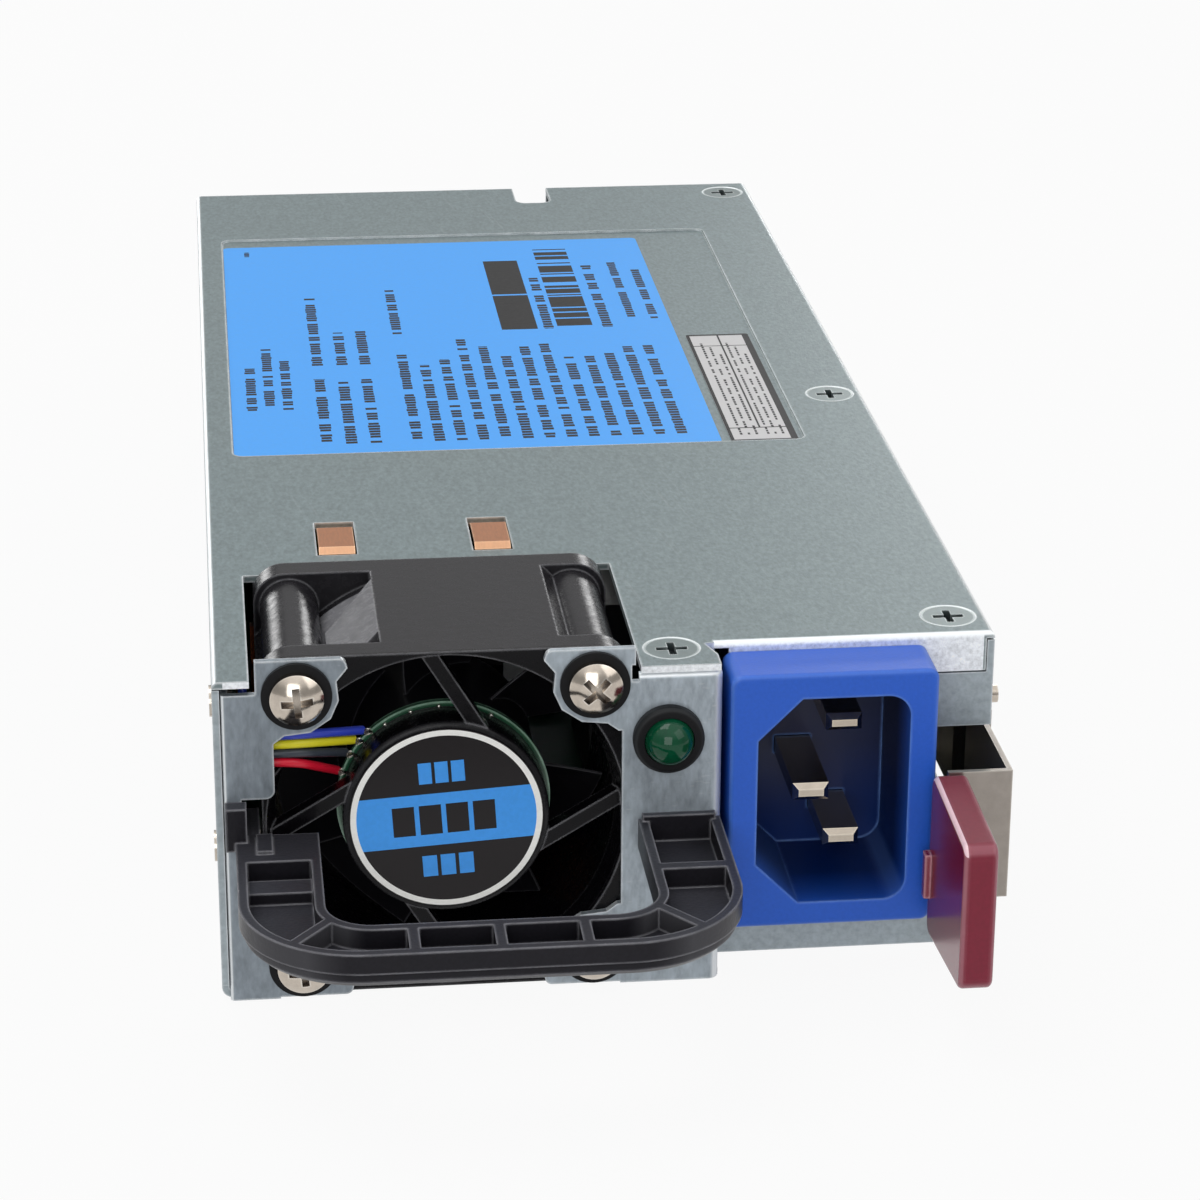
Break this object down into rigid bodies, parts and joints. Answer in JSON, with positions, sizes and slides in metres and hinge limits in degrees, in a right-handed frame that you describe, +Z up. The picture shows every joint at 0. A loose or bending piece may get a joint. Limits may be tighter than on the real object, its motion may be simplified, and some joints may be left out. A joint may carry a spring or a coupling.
{
  "type": "hot swap server power supply",
  "caption": "Hot swap power supply in a sheet steel case, with a fan and grip at the front, a blue mains inlet beside a sprung release lever, and a card edge output.",
  "frame": {"origin": "centre of the case floor, on its underside", "axes": "+Z up from the floor, +Y back along the case towards the output edge, +X to the right seen from the front"},
  "size_m": [0.0891, 0.2324, 0.0402],
  "materials": {
    "label_white": "printed film",
    "lead_black": "insulation",
    "lead_blue": "insulation",
    "screw_nickel": "nickel plated, polished",
    "package_black": "moulded package",
    "can_black": "sleeved aluminium",
    "case_steel": "zinc plated sheet steel, satin",
    "circuit_green": "solder mask",
    "copper": "bare beryllium copper, satin",
    "pin_nickel": "nickel plated",
    "gold": "gold plated",
    "shaft_steel": "ground",
    "fan_plastic": "moulded, satin",
    "rubber_black": "matte",
    "white_plastic": "moulded",
    "film_yellow": "epoxy box",
    "winding_copper": "enamelled wire",
    "panel_steel": "zinc plated sheet steel, satin",
    "black_plastic": "moulded, fine texture",
    "label_black": "printed film",
    "impeller_plastic": "moulded, satin",
    "inlet_blue": "moulded, satin",
    "film_clear": "insulating film",
    "green_lens": "tinted clear, polished",
    "spring_steel": "spring steel, satin",
    "heat_aluminium": "extruded",
    "label_blue": "printed film",
    "lead_red": "insulation",
    "lever_burgundy": "moulded, satin",
    "magnet_black": "bonded ferrite",
    "silicon_steel": "laminated",
    "ferrite": "sintered",
    "winding_yellow": "taped winding",
    "lead_yellow": "insulation"
  },
  "bodies": {
    "root": {"address_label": "label_white", "black_lead": "lead_black", "blue_lead": "lead_blue", "board_screws": "screw_nickel", "board_standoffs": "screw_nickel", "bridge_rectifier": "package_black", "bulk_capacitor": "can_black", "case_rivets": "screw_nickel", "case_tray": "case_steel", "control_board": "circuit_green", "copper_springs": "copper", "cover_screws": "screw_nickel", "earth_pin": "pin_nickel", "edge_contacts": "gold", "fan_bearings": "shaft_steel", "fan_circuit_board": "circuit_green", "fan_frame": "fan_plastic", "fan_grommets": "rubber_black", "fan_screws": "screw_nickel", "fan_socket": "white_plastic", "film_capacitor": "film_yellow", "filter_choke": "winding_copper", "front_panel": "panel_steel", "handle": "black_plastic", "hub_label": "label_black", "inlet_board": "circuit_green", "inlet_fuse": "white_plastic", "inlet_housing": "inlet_blue", "insulator_sheet": "film_clear", "lamp_bezel": "rubber_black", "lamp_lens": "green_lens", "latch_leaf_root": "spring_steel", "left_bracket": "panel_steel", "live_pin": "pin_nickel", "main_board": "circuit_green", "neutral_pin": "pin_nickel", "output_capacitors": "can_black", "output_inductor": "winding_copper", "pfc_choke": "winding_copper", "primary_heatsink": "heat_aluminium", "primary_transistors": "package_black", "rating_label": "label_blue", "red_lead": "lead_red", "secondary_heatsink": "heat_aluminium", "secondary_transistors": "package_black", "side_button": "screw_nickel", "stator_coils": "winding_copper", "stator_core": "silicon_steel", "surge_relay": "package_black", "top_cover": "case_steel", "transformer_core": "ferrite", "transformer_winding": "winding_yellow", "yellow_lead": "lead_yellow"},
    "rotor": {"impeller": "impeller_plastic", "rotor_magnet": "magnet_black", "fan_shaft": "shaft_steel"},
    "latch": {"latch_leaf": "spring_steel", "release_lever": "lever_burgundy"}
  },
  "joints": [
    {"name": "fan_spin", "type": "hinge", "parent": "root", "child": "rotor", "pos_m": [-0.018, -0.082, 0.0202], "axis": [0, 1, 0], "continuous": true},
    {"name": "latch_flex", "type": "hinge", "parent": "root", "child": "latch", "pos_m": [0.0418, -0.041, 0.01765], "axis": [0, 0, -1], "range_deg": [0, 3.2], "stiffness_Nm_per_rad": 6, "springref_deg": -1.15}
  ]
}
